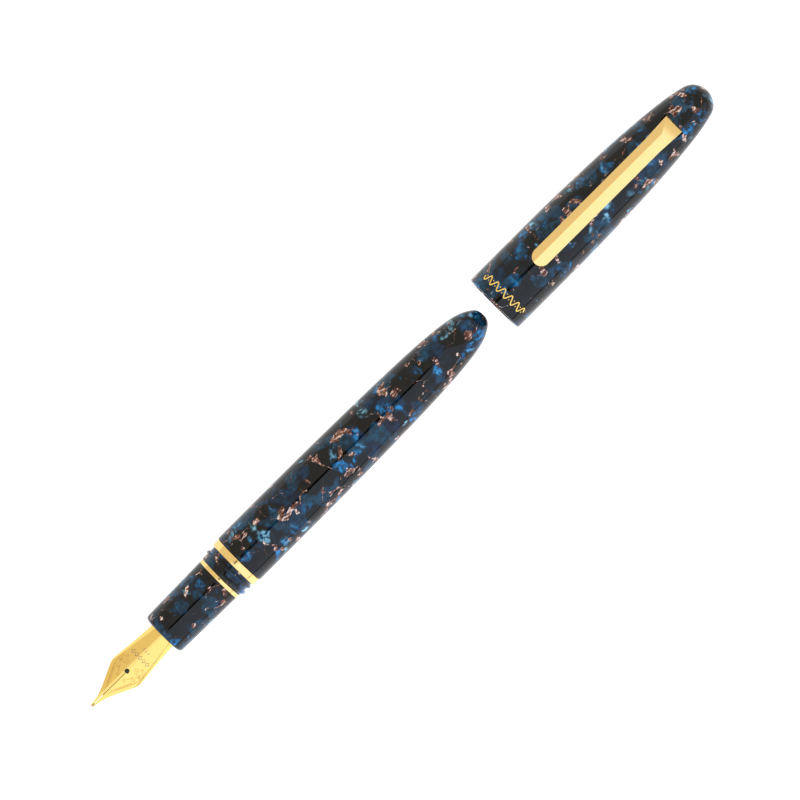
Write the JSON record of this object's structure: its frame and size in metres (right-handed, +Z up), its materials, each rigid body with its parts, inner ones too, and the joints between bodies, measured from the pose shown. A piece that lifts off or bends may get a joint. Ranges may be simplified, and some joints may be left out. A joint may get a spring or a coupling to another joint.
{
  "type": "fountain pen",
  "caption": "Resin fountain pen laid on its side, uncapped, with its cap in line behind the barrel; the section unscrews, the converter fills and the cap posts.",
  "frame": {"origin": "on the surface the cap lies on, under the middle of the whole length and under the pen's axis", "axes": "+X along the pen from nib to crown, +Z up through the top of the nib and the clip"},
  "size_m": [0.1968, 0.0152, 0.0166],
  "materials": {
    "resin": "polished, blue and pale blue chunks with copper veins in a near-black base",
    "gold": "polished gold plate",
    "hard_tip": "ground and polished",
    "black_plastic": "moulded, satin",
    "clear_plastic": "clear",
    "bright_metal": "bright plated",
    "rod_plastic": "moulded",
    "seal_rubber": "matt"
  },
  "bodies": {
    "barrel": {"barrel": "resin", "barrel_band": "gold", "barrel_insert": "bright_metal"},
    "section_ring": {"section_ring": "gold"},
    "section": {"grip_section": "resin", "section_tenon": "bright_metal", "nib_collar": "black_plastic"},
    "nib_unit": {"nib": "gold", "nib_tipping": "hard_tip", "feed": "black_plastic"},
    "converter": {"converter_tube": "clear_plastic", "converter_sleeve": "bright_metal", "converter_gland": "black_plastic"},
    "knob": {"converter_knob": "black_plastic"},
    "piston": {"piston_rod": "rod_plastic", "piston_seal": "seal_rubber"},
    "cap": {"cap_shell": "resin", "inner_cap_retainer": "bright_metal", "inner_cap_spring": "bright_metal", "clip_plug": "bright_metal"},
    "clip": {"clip": "gold"},
    "inner_cap": {"inner_cap": "black_plastic"}
  },
  "joints": [
    {"name": "section_draw", "type": "slide", "parent": "barrel", "child": "section_ring", "axis": [-1, 0, 0], "range_m": [0, 0.072]},
    {"name": "section_turn", "type": "hinge", "parent": "section_ring", "child": "section", "pos_m": [-0.05761, 0, 0.00762], "axis": [-1, 0, 0], "range_deg": [0, 25920]},
    {"name": "nib_pull", "type": "slide", "parent": "section", "child": "nib_unit", "axis": [-1, 0, 0], "range_m": [0, 0.019]},
    {"name": "converter_pull", "type": "slide", "parent": "section", "child": "converter", "axis": [1, 0, 0], "range_m": [0, 0.0065]},
    {"name": "knob_turn", "type": "hinge", "parent": "converter", "child": "knob", "pos_m": [-0.00838, 0, 0.00762], "axis": [-1, 0, 0], "range_deg": [0, 2160]},
    {"name": "piston_slide", "type": "slide", "parent": "converter", "child": "piston", "axis": [1, 0, 0], "range_m": [0, 0.022]},
    {"name": "cap_post", "type": "slide", "parent": "barrel", "child": "cap", "axis": [-1, 0, 0], "range_m": [0, 0.0235]},
    {"name": "inner_cap_press", "type": "slide", "parent": "cap", "child": "inner_cap", "axis": [1, 0, 0], "range_m": [0, 0.0012], "stiffness_N_per_m": 800, "springref_m": -0.001, "deforming": ["inner_cap_spring"]},
    {"name": "clip_flex", "type": "hinge", "parent": "cap", "child": "clip", "pos_m": [0.08662, 0, 0.01252], "axis": [0, 1, 0], "range_deg": [0, 3], "stiffness_Nm_per_rad": 8, "springref_deg": -0.57}
  ],
  "couplings": [
    {"joint": "section_turn", "follows": "section_draw", "rad_per_m": 6283.2},
    {"joint": "knob_turn", "follows": "piston_slide", "rad_per_m": 1713.6}
  ]
}
